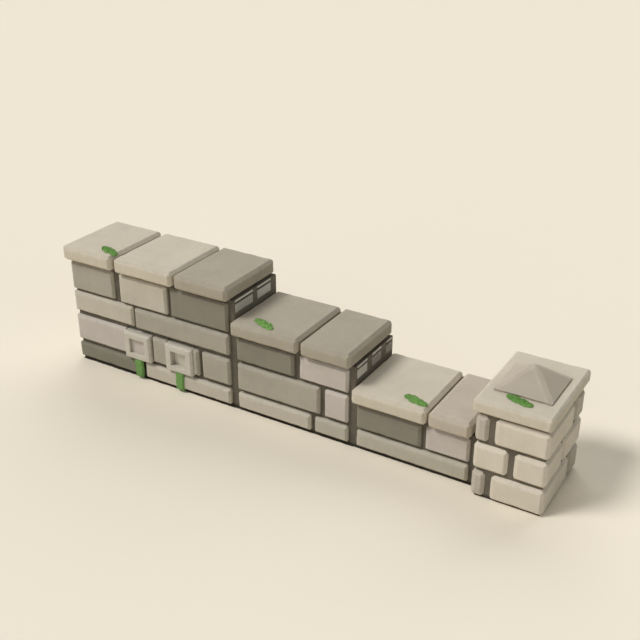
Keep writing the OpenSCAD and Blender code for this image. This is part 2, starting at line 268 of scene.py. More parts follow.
class Effects:
    """Node groups that the finishes share, each built once."""

    @staticmethod
    def start(
        name: str, inputs: Values, outputs: tuple[str, ...]
    ) -> tuple[Wiring, dict[str, Socket], Node]:
        """Make an empty group with its sockets.

        Args:
            name: Name of the group.
            inputs: First value of each named input.
            outputs: Names of the outputs, of which Colour is a colour and the rest are values.

        Returns:
            The group's wiring, the sockets of its inputs and its output node.
        """
        kinds = {True: "NodeSocketColor", False: "NodeSocketFloat"}
        tree = bpy.data.node_groups.new(name, "ShaderNodeTree")
        for label, value in inputs.items():
            kind = kinds[isinstance(value, tuple)]
            socket = tree.interface.new_socket(label, in_out="INPUT", socket_type=kind)
            socket.default_value = value
        for label in outputs:
            kind = kinds[label == "Colour"]
            tree.interface.new_socket(label, in_out="OUTPUT", socket_type=kind)
        given = tree.nodes.new("NodeGroupInput").outputs
        put = tree.nodes.new("NodeGroupOutput")
        return Wiring(tree), {label: given[label] for label in inputs}, put

    @staticmethod
    @cache
    def mottle() -> Tree:
        """Build the cloudy colour: broad clouds, finer blotches and one shade a stone.

        Returns:
            The group.
        """
        wires, given, put = Effects.start(
            "stone_mottle",
            {"Body": WHITE, "Pale": WHITE, "Deep": WHITE, "Shade": 0.5, "Cloud": 0.5},
            ("Colour", "Height"),
        )
        shift = wires.joined(given["Shade"], 37.0)
        broad = wires.texture(scale=6.5, detail=3.0, rough=0.5, shift=shift)
        fine = wires.texture(scale=31.0, detail=4.0, rough=0.55, shift=shift)
        masks = (
            (wires.spread(broad, low=0.46, high=0.72), "Pale"),
            (wires.spread(broad, low=0.52, high=0.28), "Deep"),
            (wires.joined(wires.spread(fine, low=0.5, high=0.7), 0.45), "Deep"),
        )
        colour = given["Body"]
        for mask, label in masks:
            colour = wires.mix(wires.joined(mask, given["Cloud"]), colour, given[label])
        shade = wires.spread(given["Shade"], low=-1.0, high=2.0, to_low=0.52, to_high=1.48)
        shaded = wires.add("HueSaturation", {"Value": shade, "Color": colour})
        wires.fill(put, {"Colour": shaded.outputs["Color"], "Height": fine})
        return wires.tree

    @staticmethod
    @cache
    def grain() -> Tree:
        """Build the sandy grain and small pits of a sawn or dressed stone.

        Returns:
            The group.
        """
        wires, given, put = Effects.start(
            "stone_grain", {"Scale": 240.0, "Pits": 0.5}, ("Speck", "Pit", "Height")
        )
        sand = wires.texture(given["Scale"], detail=3.0, rough=0.6)
        cell = wires.add("TexVoronoi", {"Vector": wires.place(), "Scale": 70.0})
        spot = wires.spread(cell.outputs["Distance"], low=0.22, high=0.08)
        where = wires.spread(wires.texture(scale=14.0, detail=2.0, rough=0.5), low=0.52, high=0.66)
        pit = wires.joined(wires.joined(spot, where), given["Pits"])
        height = wires.joined(sand, wires.joined(pit, 1.4), "SUBTRACT")
        speck = wires.spread(sand, low=0.42, high=0.68)
        wires.fill(put, {"Speck": speck, "Pit": pit, "Height": height})
        return wires.tree

    @staticmethod
    @cache
    def wear() -> Tree:
        """Build the mask of arrises that are rubbed pale, broken up by noise.

        Returns:
            The group.
        """
        wires, given, put = Effects.start("arris_wear", {"Amount": 0.5}, ("Mask",))
        edge = wires.add("Attribute", {}, attribute_name="arris").outputs["Fac"]
        broken = wires.texture(scale=26.0, detail=4.0, rough=0.6)
        mask = wires.joined(edge, wires.spread(broken, low=0.32, high=0.66))
        wires.fill(put, {"Mask": wires.joined(mask, given["Amount"])})
        return wires.tree

    @staticmethod
    @cache
    def wet_and_painted_shade() -> Tree:
        """Build the dark foot, damp on a stone and painted shade on the mortar, and the faint runs
        of rain on a face.

        Returns:
            The group.
        """
        wires, given, put = Effects.start("foot_wet_and_painted_shade", {"Reach": 0.12, "Runs": 0.2}, ("Foot", "Run"))
        parts = wires.add("SeparateXYZ", {"Vector": wires.place()})
        ragged = wires.texture(scale=9.0, detail=4.0, rough=0.6)
        above = wires.joined(parts.outputs["Z"], wires.joined(ragged, given["Reach"]), "SUBTRACT")
        rise = wires.joined(above, given["Reach"], "DIVIDE")
        stretch = wires.add("Mapping", {"Vector": wires.place(), "Scale": (26.0, 26.0, 1.6)})
        lines = {"Vector": stretch.outputs["Vector"], "Scale": 1.0, "Detail": 3.0}
        runs = wires.add("TexNoise", lines).outputs["Fac"]
        run = wires.joined(wires.spread(runs, low=0.54, high=0.74), given["Runs"])
        wires.fill(put, {"Foot": wires.spread(rise, low=0.6, high=-0.4), "Run": run})
        return wires.tree


def bare_material(name: str, roughness: float) -> tuple[bpy.types.Material, Wiring, Node]:
    """Start a node material with a matte shader.

    Args:
        name: Name of the material.
        roughness: Roughness of its surface.

    Returns:
        The material, its wiring and its shader node.
    """
    material = bpy.data.materials.new(name)
    material.use_nodes = True
    wires = Wiring(material.node_tree)
    shader = material.node_tree.nodes["Principled BSDF"]
    wires.fill(shader, {"Roughness": roughness, "Specular IOR Level": MATTE})
    return material, wires, shader


@dataclass(frozen=True)
class Finish:
    """A named finish.

    Attributes:
        name: Name of the finish.
        body: Main colour.
        roughness: Roughness of the surface.
    """

    name: str
    body: Colour
    roughness: ClassVar[float] = 0.95

    def lay(self, wires: Wiring, shader: Node) -> None:
        """Lay the colours and the relief, which each sort of finish has of its own.

        Args:
            wires: Wiring of the material.
            shader: Its shader node.
        """
        raise NotImplementedError

    def stained(self, wires: Wiring, colour: Socket, stains: list[tuple[Socket, float]]) -> Socket:
        """Stain a colour.

        Args:
            wires: Wiring of the material.
            colour: Socket of the colour.
            stains: Mask of each stain, and its brightness as a share of the body's.

        Returns:
            The socket with the stained colour.
        """
        for mask, brightness in stains:
            colour = wires.mix(mask, colour, scaled(self.body, brightness))
        return colour

    def material(self) -> bpy.types.Material:
        """Make the material, or give it where it is made already.

        Returns:
            The material.
        """
        if self.name in bpy.data.materials:
            return bpy.data.materials[self.name]
        material, wires, shader = bare_material(self.name, self.roughness)
        self.lay(wires, shader)
        return material


@dataclass(frozen=True)
class StoneFinish(Finish):
    """Finish of one sort of stone.

    Attributes:
        slot: Slot of the record that it belongs to; not used by this script.
        cloud: Strength of the cloudy colour.
        pits: Strength of the small pits.
        rubbed: How strongly the arrises are rubbed pale.
        runs: Strength of the rain's runs.
    """

    slot: Slot
    cloud: float = 0.33
    pits: float = 0.5
    rubbed: float = 0.45
    runs: float = 0.07
    roughness: ClassVar[float] = 0.88

    def lay(self, wires: Wiring, shader: Node) -> None:
        """Lay the stone's colours, its rubbed arrises and its relief.

        Args:
            wires: Wiring of the material.
            shader: Its shader node.
        """
        shade = wires.add("Attribute", {}, attribute_name="stone_shade").outputs["Fac"]
        values = {"Body": self.body, "Shade": shade, "Cloud": self.cloud}
        values |= {"Pale": scaled(self.body, 1.14), "Deep": scaled(self.body, 0.84)}
        mottle = wires.group(Effects.mottle(), values)
        grain = wires.group(Effects.grain(), {"Scale": 230.0, "Pits": self.pits})
        wet_and_painted_shade = wires.group(Effects.wet_and_painted_shade(), {"Reach": 0.03, "Runs": self.runs})
        wear = wires.group(Effects.wear(), {"Amount": self.rubbed})
        stains = [
            (wires.joined(grain["Speck"], 0.16), 0.72),
            (grain["Pit"], 0.55),
            (wet_and_painted_shade["Run"], 0.62),
            (wires.joined(wet_and_painted_shade["Foot"], 0.2), 0.5),
            (wear["Mask"], 1.22),
        ]
        height = wires.joined(grain["Height"], wires.joined(mottle["Height"], 1.6), "ADD")
        surface = {
            "Base Color": self.stained(wires, mottle["Colour"], stains),
            "Roughness": wires.spread(mottle["Height"], low=0.3, high=0.7, to_low=0.8, to_high=0.94),
            "Normal": wires.bump(height, strength=0.3, depth=0.0022),
        }
        wires.fill(shader, surface)


@dataclass(frozen=True)
class MortarFinish(Finish):
    """Finish of the mortar."""

    def lay(self, wires: Wiring, shader: Node) -> None:
        """Lay the mortar's colours and its coarse relief.

        Args:
            wires: Wiring of the material.
            shader: Its shader node.
        """
        values = {"Body": self.body, "Pale": scaled(self.body, 1.2), "Deep": scaled(self.body, 0.74)}
        mottle = wires.group(Effects.mottle(), values | {"Cloud": 0.8})
        grain = wires.group(Effects.grain(), {"Scale": 150.0, "Pits": 1.0})
        wet_and_painted_shade = wires.group(Effects.wet_and_painted_shade(), {"Reach": 0.035, "Runs": 0.2})
        stains = [
            (wires.joined(grain["Speck"], 0.4), 0.66),
            (grain["Pit"], 0.42),
            (wet_and_painted_shade["Run"], 0.6),
            # Near-black painted shade over the bottom few centimetres of the mortar, in the gap
            # under the base stones
            (wires.joined(wet_and_painted_shade["Foot"], 0.92), 0.16),
        ]
        height = wires.joined(grain["Height"], mottle["Height"], "ADD")
        surface = {
            "Base Color": self.stained(wires, mottle["Colour"], stains),
            "Normal": wires.bump(height, strength=0.6, depth=0.005),
        }
        wires.fill(shader, surface)


@dataclass(frozen=True)
class MossFinish(Finish):
    """Finish of moss, of the green film below the weep holes and of the black painted shade at the
    foot.

    Attributes:
        tip: Colour of the sunlit tips.
        deep: Colour between the cushions.
    """

    tip: Colour
    deep: Colour

    def lay(self, wires: Wiring, shader: Node) -> None:
        """Lay the clumpy colours and the relief.

        Args:
            wires: Wiring of the material.
            shader: Its shader node.
        """
        values = {"Body": self.body, "Pale": self.tip, "Deep": self.deep, "Cloud": 0.9}
        mottle = wires.group(Effects.mottle(), values)
        grain = wires.group(Effects.grain(), {"Scale": 420.0, "Pits": 1.0})
        colour = wires.mix(wires.joined(grain["Speck"], 0.5), mottle["Colour"], self.tip)
        surface = {
            "Base Color": wires.mix(grain["Pit"], colour, self.deep),
            "Normal": wires.bump(grain["Height"], strength=0.6, depth=0.003),
        }
        wires.fill(shader, surface)


class Tone(Enum):
    """The sorts of stone in the wall."""

    PALE_COPING = StoneFinish("pale_coping", paint(200, 190, 171), Slot.LIGHT)
    GREY_COPING = StoneFinish("grey_coping", paint(167, 158, 141), Slot.OLIVE)
    SOFT_COPING = StoneFinish("soft_coping", paint(185, 174, 157), Slot.LIGHT)
    LIGHT = StoneFinish("light_face", paint(189, 181, 165), Slot.LIGHT)
    ROSY = StoneFinish("rosy_face", paint(190, 181, 171), Slot.LIGHT)
    OLIVE = StoneFinish("olive_face", paint(166, 159, 144), Slot.OLIVE)
    WARM_OLIVE = StoneFinish("olive_base", paint(179, 172, 156), Slot.OLIVE)
    # Darkest face stone, set at the foot of the high bay
    DARKEST_BASE = StoneFinish("darkest_base", paint(127, 123, 108), Slot.DARK, rubbed=0.35)
    DARK = StoneFinish("dark_face", paint(133, 127, 113), Slot.DARK, rubbed=0.35)
    CREAM = StoneFinish("cream_weep", paint(195, 188, 174), Slot.CREAM)
    PLUG = StoneFinish("plug_stone", paint(208, 202, 186), Slot.CREAM, pits=0.9)
    PIER_LARGE = StoneFinish("pier_large", paint(209, 199, 182), Slot.LIGHT)
    END_GREY = StoneFinish("end_grey", paint(192, 187, 176), Slot.OLIVE)
    BACK = StoneFinish("back_stone", paint(174, 165, 147), Slot.OLIVE, cloud=0.45)


WALL_MORTAR = MortarFinish("wall_mortar", paint(101, 95, 83))
PIER_MORTAR = MortarFinish("pier_mortar", paint(105, 98, 85))
# Paler copy of the wall's mortar for the bays' right ends: painted light on faces that the lamps
# leave in shade
PAINTED_LIGHT_MORTAR = MortarFinish("painted_light_mortar", paint(124, 117, 103))
MOSS = MossFinish("coping_moss", paint(122, 164, 90), paint(132, 176, 94), paint(98, 142, 68))
STREAK = MossFinish("weep_streak", paint(112, 150, 86), paint(118, 160, 88), paint(92, 128, 66))
# Near-black colour of the painted shade in the gap under the base stones
PAINTED_FOOT_SHADE = MossFinish("foot_painted_shade", paint(58, 54, 46), paint(66, 61, 52), paint(48, 45, 38))


@dataclass
class StoneWork:
    """A set of stones that is dressed in one way.

    Attributes:
        tones: Sort of stone of each CAD node.
        arris: Radius that softens each edge.
        pitch: Distance between the points that carry the tooling.
        hollow: How far a face swells and dips.
        chip: How deep the deepest chip goes.
        spread: How far the stones' shades differ.
        seed: Seed of the set's chance.
    """

    tones: dict[str, Tone] = field(default_factory=dict)
    arris: float = 0.0035
    pitch: float = 0.02
    hollow: float = 0.0014
    chip: float = 0.009
    spread: float = 0.035
    seed: int = 1

    def cut(self, node: str) -> tuple[Mesh, np.ndarray]:
        """Take a node's solid, soften its edges and divide its faces.

        Args:
            node: Name of the CAD node.

        Returns:
            The divided mesh and the ends of its sharp edges.
        """
        weld, flat, short, bend = 0.00002, math.radians(0.6), 0.006, math.radians(15)
        mesh = bmesh.new()
        mesh.from_mesh(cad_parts[node].data)
        bmesh.ops.remove_doubles(mesh, verts=mesh.verts[:], dist=weld)
        bmesh.ops.dissolve_limit(
            mesh,
            angle_limit=flat,
            use_dissolve_boundaries=False,
            verts=mesh.verts[:],
            edges=mesh.edges[:],
        )
        sharp = [
            edge
            for edge in mesh.edges
            if len(edge.link_faces) == 2
            and edge.is_convex
            and edge.calc_face_angle() > bend
            and edge.calc_length() > short
        ]
        ends = np.array([[edge.verts[0].co, edge.verts[1].co] for edge in sharp], float)
        bmesh.ops.bevel(
            mesh,
            geom=sharp,
            offset=self.arris,
            offset_type="OFFSET",
            segments=2,
            profile=0.5,
            affect="EDGES",
            clamp_overlap=True,
        )
        for axis in range(3):
            spots = [vert.co[axis] for vert in mesh.verts]
            low, high = min(spots), max(spots)
            count = max(1, round((high - low) / self.pitch))
            normal = Vector((0, 0, 0))
            normal[axis] = 1
            for step in range(1, count):
                bmesh.ops.bisect_plane(
                    mesh,
                    geom=mesh.verts[:] + mesh.edges[:] + mesh.faces[:],
                    dist=weld / 2,
                    plane_co=normal * (low + (high - low) * step / count),
                    plane_no=normal,
                )
        return mesh, ends

    @staticmethod
    def nearness(mesh: Mesh, ends: np.ndarray) -> np.ndarray:
        """Tell how near each point is to a sharp edge.

        Args:
            mesh: The divided mesh.
            ends: Two ends of each sharp edge.

        Returns:
            One value a point, from 0 far away to 1 on an edge.
        """
        reach, batch = 0.012, 2000
        points = np.array([vert.co for vert in mesh.verts], float)
        start = ends[:, 0]
        run = ends[:, 1] - start
        square = np.maximum((run * run).sum(1), 1e-12)
        nearest = np.empty(len(points))
        for first in range(0, len(points), batch):
            part = slice(first, first + batch)
            away = points[part, None] - start[None]
            share = np.clip((away * run[None]).sum(2) / square, 0, 1)
            gap = away - share[..., None] * run[None]
            nearest[part] = np.sqrt((gap * gap).sum(2)).min(1)
        return np.clip(1 - nearest / reach, 0, 1)

    def weather(self, mesh: Mesh, near: np.ndarray, chance: random.Random) -> None:
        """Swell and dip the faces, chip the arrises and mark each stone's own shade.

        Args:
            mesh: The divided mesh.
            near: Nearness of each point to a sharp edge.
            chance: Source of chance.
        """
        broad, fine, flakes, whole = 8.5, 24, 15, 0.22
        rubbed = mesh.verts.layers.float.new("arris")
        shade = mesh.verts.layers.float.new("stone_shade")
        offset = Vector([chance.uniform(-50, 50) for _ in range(3)])
        mesh.normal_update()
        normals = [vert.normal.copy() for vert in mesh.verts]
        for vert, normal, edge in zip(mesh.verts, normals, near):
            spot = vert.co + offset
            swell = 0.65 * noise.noise(spot * broad) + 0.35 * noise.noise(spot * fine)
            flake = max(0.0, noise.noise(spot * flakes) - whole) * edge
            vert[rubbed] = float(edge)
            vert.co = vert.co + normal * (self.hollow * swell - self.chip * flake)
        for stone in islands(mesh):
            value = self.own_shade(stone, chance)
            for vert in stone:
                vert[shade] = value

    def own_shade(self, stone: list[Point], chance: random.Random) -> float:
        """Choose the shade of one stone, about the middle of its tone.

        Args:
            stone: Points of the stone.
            chance: Source of chance.

        Returns:
            The shade, lower for darker and higher for paler.
        """
        middle = 0.5
        return chance.uniform(middle - self.spread, middle + self.spread)

    def dress(self) -> None:
        """Make every stone of the set and put it in place of its CAD node."""
        for place, (node, tone) in enumerate(self.tones.items()):
            chance = random.Random(self.seed * 1000 + place)
            mesh, ends = self.cut(node)
            self.weather(mesh, self.nearness(mesh, ends), chance)
            piece = finished(mesh, f"{node}_dressed", tone.value.material(), CRISP)
            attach(piece, "root")
            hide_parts(node)


def islands(mesh: Mesh) -> list[list[Point]]:
    """Part a mesh into its separate stones.

    Args:
        mesh: The mesh.

    Returns:
        The points of each stone, in the mesh's own order.
    """
    mesh.verts.index_update()
    seen: set[int] = set()
    stones = []
    for first in mesh.verts:
        if first.index in seen:
            continue
        seen.add(first.index)
        stone = [first]
        for vert in stone:
            for edge in vert.link_edges:
                other = edge.other_vert(vert)
                if other.index not in seen:
                    seen.add(other.index)
                    stone.append(other)
        stones.append(stone)
    return stones


def span(stone: list[Point]) -> tuple[Vector, Vector]:
    """Give the lowest and the highest corner of a stone's box.

    Args:
        stone: Points of the stone.

    Returns:
        The two corners.
    """
    spots = np.array([vert.co for vert in stone], float)
    return Vector(spots.min(0)), Vector(spots.max(0))


def finished(mesh: Mesh, name: str, material: bpy.types.Material, angle: float) -> bpy.types.Object:
    """Turn a mesh into a piece with its finish and clean shading.

    Args:
        mesh: The mesh, which is freed.
        name: Name of the piece.
        material: Its finish.
        angle: Bend in degrees from which an edge stays sharp.

    Returns:
        The piece.
    """
    data = bpy.data.meshes.new(name)
    mesh.to_mesh(data)
    mesh.free()
    data.shade_smooth()
    data.set_sharp_from_angle(angle=math.radians(angle))
    data.materials.append(material)
    piece = bpy.data.objects.new(name, data)
    bpy.context.scene.collection.objects.link(piece)
    even = piece.modifiers.new("even_shading", "WEIGHTED_NORMAL")
    even.keep_sharp = True
    log.info("%s: %d faces", name, len(data.polygons))
    return piece


def course(name: str, *tones: Tone) -> dict[str, Tone]:
    """Give the stones of one course their tones.

    Args:
        name: Name of the course.
        tones: Tone of each stone, from the left.

    Returns:
        Tone of each CAD node.
    """
    return {f"{name}_{place}": tone for place, tone in enumerate(tones, 1)}


COPINGS = StoneWork(
    course("high_coping", Tone.PALE_COPING, Tone.PALE_COPING, Tone.GREY_COPING)
    | course("middle_coping", Tone.GREY_COPING, Tone.GREY_COPING)
    | course("low_coping", Tone.PALE_COPING, Tone.SOFT_COPING),
    arris=0.004,
    pitch=0.022,
    seed=11,
)
FACE_STONES = StoneWork(
    course("high_base", Tone.DARKEST_BASE, Tone.LIGHT)
    | course("high_second", Tone.ROSY, Tone.OLIVE, Tone.OLIVE)
    | course("high_third", Tone.LIGHT, Tone.OLIVE)
    | course("high_top", Tone.OLIVE, Tone.LIGHT, Tone.DARK)
    | course("middle_base", Tone.LIGHT, Tone.WARM_OLIVE)
    | course("middle_second", Tone.OLIVE, Tone.ROSY)
    | course("middle_top", Tone.DARK, Tone.ROSY)
    | course("low_base", Tone.WARM_OLIVE)
    | course("low_top", Tone.DARK, Tone.ROSY),
    seed=12,
)
BACK_STONES = StoneWork(
    {f"back_stones_{bay}": Tone.BACK for bay in ("high", "middle", "low")},
    pitch=0.026,
    hollow=0.0018,
    spread=0.3,
    seed=15,
)


@dataclass
class WeepHoles(StoneWork):
    """The two raised weep surrounds and the stones at the back of their recesses.

    Attributes:
        sill: Height of the surrounds' lower edge in the CAD.
        foot: Height of the lower edge as it is seen.
        share: Share of the CAD height that is seen.
    """

    tones: dict[str, Tone] = field(
        default_factory=lambda: {
            **course("weep_surround", Tone.CREAM, Tone.CREAM),
            **course("weep_plug", Tone.ROSY, Tone.PLUG),
        }
    )
    pitch: float = 0.016
    hollow: float = 0.001
    chip: float = 0.007
    seed: int = 13
    sill: float = 0.154
    foot: float = 0.168
    share: float = 0.88

    def weather(self, mesh: Mesh, near: np.ndarray, chance: random.Random) -> None:
        """Weather the stones and set them to the height that is seen.

        Args:
            mesh: The divided mesh.
            near: Nearness of each point to a sharp edge.
            chance: Source of chance.
        """
        super().weather(mesh, near, chance)
        for vert in mesh.verts:
            vert.co.z = self.foot + (vert.co.z - self.sill) * self.share


@dataclass
class EndStones(StoneWork):
    """Stones of the free left end and of the two steps.

    Attributes:
        left: Place along the wall that parts the left end from the steps.
        thin: Height below which a stone of a step is a slip.
        lift: How far the slips are set up under the copings.
        slip: Shade of the slips.
        high: Where the high step's stones part across the wall, and their shades.
        middle: The same for the middle step.
    """

    tones: dict[str, Tone] = field(
        default_factory=lambda: {
            "end_stones_left": Tone.LIGHT,
            "end_stones_high": Tone.END_GREY,
            "end_stones_middle": Tone.END_GREY,
        }
    )
    arris: float = 0.003
    hollow: float = 0.001
    chip: float = 0.006
    spread: float = 0.24
    seed: int = 14
    left: float = -1.0
    thin: float = 0.02
    lift: float = 0.012
    slip: float = 1.0
    high: tuple[float, float, float] = (0.0, 0.4, 0.9)
    middle: tuple[float, float, float] = (-0.1, 0.95, -0.45)

    def weather(self, mesh: Mesh, near: np.ndarray, chance: random.Random) -> None:
        """Weather the stones and set the slips up under their copings.

        Args:
            mesh: The divided mesh.
            near: Nearness of each point to a sharp edge.
            chance: Source of chance.
        """
        super().weather(mesh, near, chance)
        for stone in islands(mesh):
            low, high = span(stone)
            if low.x > self.left and high.z - low.z < self.thin:
                for vert in stone:
                    vert.co.z += self.lift

    def own_shade(self, stone: list[Point], chance: random.Random) -> float:
        """Choose the shade of one stone: pale slips, and each step's stones in turn.

        Args:
            stone: Points of the stone.
            chance: Source of chance.

        Returns:
            The shade, lower for darker and higher for paler.
        """
        low, high = span(stone)
        centre = (low + high) / 2
        if centre.x < self.left:
            return super().own_shade(stone, chance)
        if high.z - low.z < self.thin:
            return self.slip
        parting, front, back = self.high if centre.x < 0 else self.middle
        return front if centre.y < parting else back


@dataclass
class Pier(StoneWork):
    """The pier's three courses, its cap and the low pyramid.

    Attributes:
        narrow: Width below which a stone is a closer.
        closers: Darkest and palest shade of the closers.
        others: Darkest and palest shade of the other stones.
    """

    tones: dict[str, Tone] = field(
        default_factory=lambda: {
            "pier_course_lower": Tone.PIER_LARGE,
            "pier_course_middle": Tone.PIER_LARGE,
            "pier_course_upper": Tone.PIER_LARGE,
            "pier_cap": Tone.PALE_COPING,
            "pier_pyramid": Tone.SOFT_COPING,
        }
    )
    arris: float = 0.004
    seed: int = 16
    narrow: float = 0.16
    closers: tuple[float, float] = (-0.16, -0.12)
    others: tuple[float, float] = (0.44, 0.54)

    def own_shade(self, stone: list[Point], chance: random.Random) -> float:
        """Choose the shade of one stone, darker for the narrow closers.

        Args:
            stone: Points of the stone.
            chance: Source of chance.

        Returns:
            The shade, lower for darker and higher for paler.
        """
        low, high = span(stone)
        shades = self.closers if high.x - low.x < self.narrow else self.others
        return chance.uniform(*shades)


@dataclass
class MortarCores:
    """The mortar cores, which keep their CAD solids and get their finish.

    Attributes:
        wall: Nodes of the three bays.
        pier: Node of the pier.
        square: How squarely a face looks to the right to count as a bay's end.
    """

    wall: tuple[str, ...] = ("core_high", "core_middle", "core_low")
    pier: str = "pier_core"
    square: float = 0.9

    def dress(self) -> None:
        """Give each core its mortar, with painted light on the ends of the bays: paler mortar there.
        """
        for node in self.wall + (self.pier,):
            finish = PIER_MORTAR if node == self.pier else WALL_MORTAR
            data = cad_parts[node].data
            data.materials.clear()
            data.materials.append(finish.material())
            if node in self.wall:
                # Painted light: faces that look to the right lie in shade and get the paler mortar
                data.materials.append(PAINTED_LIGHT_MORTAR.material())
                for face in data.polygons:
                    face.material_index = 1 if face.normal.x > self.square else 0
            log.info("%s: mortar", node)


@dataclass
class Moss:
    """One patch of moss on a coping.

    Attributes:
        name: Name of the piece.
        start: Left back end of the patch on the stone's top.
        finish: Right front end of the patch.
        width: Width across the patch.
        thick: Height of the thickest cushion.
        seed: Seed of the patch's chance.
        step: Distance between the points of the mound.
    """

    name: str
    start: Vector
    finish: Vector
    width: float = 0.078
    thick: float = 0.013
    seed: int = 1
    step: float = 0.0038

    def cushions(self, chance: random.Random) -> list[tuple[Vector, float]]:
        """Lay a chain of cushions along the patch, the largest in its middle.

        Args:
            chance: Source of chance.

        Returns:
            The middle and the radius of each cushion.
        """
        run = self.finish - self.start
        across = Vector((-run.y, run.x, 0)).normalized()
        last = 8
        chain = []
        for number in range(last + 1):
            share = number / last
            radius = self.width / 2 * (0.42 + 0.58 * math.sin(math.pi * (0.14 + 0.72 * share)))
            radius *= chance.uniform(0.85, 1.05)
            middle = self.start + run * (0.06 + 0.88 * share)
            middle += across * chance.uniform(-0.1, 0.1) * self.width
            chain.append((middle, radius))
        return chain

    def height(self, spot: Vector, chain: list[tuple[Vector, float]], offset: Vector) -> float:
        """Give the moss's height over a point of the stone.

        Args:
            spot: The point.
            chain: The cushions.
            offset: Shift of the noise.

        Returns:
            The height, or less than nought where there is none.
        """
        rim, tufts = 60, 160
        ragged = 1 + 0.1 * noise.noise((spot + offset) * rim)
        best = -1.0
        for middle, radius in chain:
            gap = (spot.xy - middle.xy).length / (radius * ragged)
            best = max(best, 1 - gap * gap)
        if best <= 0:
            return best
        crown = 0.78 + 0.3 * noise.noise((spot + offset) * tufts)
        return self.thick * math.sqrt(best) * max(0.25, crown)

    def grid(self, chance: random.Random) -> dict[Key, Vector]:
        """Measure the moss over a grid of points.

        Args:
            chance: Source of chance.

        Returns:
            The point of the moss's top in each column and row that has moss.
        """
        chain = self.cushions(chance)
        offset = Vector((chance.uniform(-9, 9), chance.uniform(-9, 9), 0))
        lift = 0.0008
        wide, deep = (sorted(pair) for pair in zip(self.start.xy, self.finish.xy))
        low = Vector((wide[0] - self.width, deep[0] - self.width))
        high = Vector((wide[1] + self.width, deep[1] + self.width))
        found = {}
        for i in range(int((high.x - low.x) / self.step)):
            for j in range(int((high.y - low.y) / self.step)):
                spot = Vector((low.x + i * self.step, low.y + j * self.step, self.start.z))
                height = self.height(spot, chain, offset)
                if height > 0:
                    found[i, j] = spot + Vector((0, 0, lift + height))
        return found

    def mound(self, mesh: Mesh, grid: dict[Key, Vector]) -> list[Vector]:
        """Add the patch as a closed low mound.

        Args:
            mesh: Mesh of the patch.
            grid: Point of the moss's top in each column and row that has moss.

        Returns:
            The points of its top that are used.
        """
        foot_level = self.start.z - 0.003
        rings = {(i, j): ((i, j), (i + 1, j), (i + 1, j + 1), (i, j + 1)) for i, j in sorted(grid)}
        cells = {cell: ring for cell, ring in rings.items() if grid.keys() >= set(ring)}
        top: dict[Key, Point] = {}
        foot: dict[Key, Point] = {}
        for ring in cells.values():
            for key in ring:
                if key not in top:
                    top[key] = mesh.verts.new(grid[key])
                    foot[key] = mesh.verts.new((grid[key].x, grid[key].y, foot_level))
        for (i, j), ring in cells.items():
            mesh.faces.new([top[key] for key in ring])
            mesh.faces.new([foot[key] for key in reversed(ring)])
            beside = ((i, j - 1), (i + 1, j), (i, j + 1), (i - 1, j))
            for other, first, second in zip(beside, ring, ring[1:] + ring[:1]):
                if other not in cells:
                    mesh.faces.new([foot[first], foot[second], top[second], top[first]])
        return [vert.co.copy() for vert in top.values()]

    def sprigs(self, mesh: Mesh, spots: list[Vector], chance: random.Random) -> None:
        """Add small pointed sprigs over the mound.

        Args:
            mesh: Mesh of the patch.
            spots: Points of its top.
            chance: Source of chance.
        """
        most = 260
        for spot in chance.sample(spots, min(len(spots), most)):
            tall = chance.uniform(0.004, 0.009)
            wide = chance.uniform(0.0016, 0.0028)
            turn = chance.uniform(0, math.tau)
            lean = Vector((chance.uniform(-0.5, 0.5), chance.uniform(-0.5, 0.5), 1)) * tall
            ring = []
            for side in range(4):
                angle = turn + side * math.tau / 4
                out = Vector((math.cos(angle), math.sin(angle), -0.6))
                ring.append(mesh.verts.new(spot + out * wide))
            peak = mesh.verts.new(spot + lean)
            for side in range(4):
                mesh.faces.new((ring[side], ring[(side + 1) % 4], peak))
            mesh.faces.new(ring[::-1])

    def build(self) -> None:
        """Make the patch as a closed low mound with small sprigs, and dress it."""
        chance = random.Random(self.seed)
        mesh = bmesh.new()
        spots = self.mound(mesh, self.grid(chance))
        self.sprigs(mesh, spots, chance)
        piece = finished(mesh, self.name, MOSS.material(), SOFT)
        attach(piece, "root")


def close(mesh: Mesh, rings: list[list[Point]]) -> None:
    """Join rings of points into a closed strip.

    Args:
        mesh: Mesh that has the points.
        rings: Points of each ring, first along its front and then back along its back.
    """
    size = len(rings[0])
    for first, second in zip(rings, rings[1:]):
        for side in range(size):
            beside = (side + 1) % size
            mesh.faces.new((first[side], second[side], second[beside], first[beside]))
    for ring in (rings[0], rings[-1]):
        for side in range(size // 2 - 1):
            mesh.faces.new((ring[side], ring[side + 1], ring[-2 - side], ring[-1 - side]))
    bmesh.ops.recalc_face_normals(mesh, faces=mesh.faces[:])


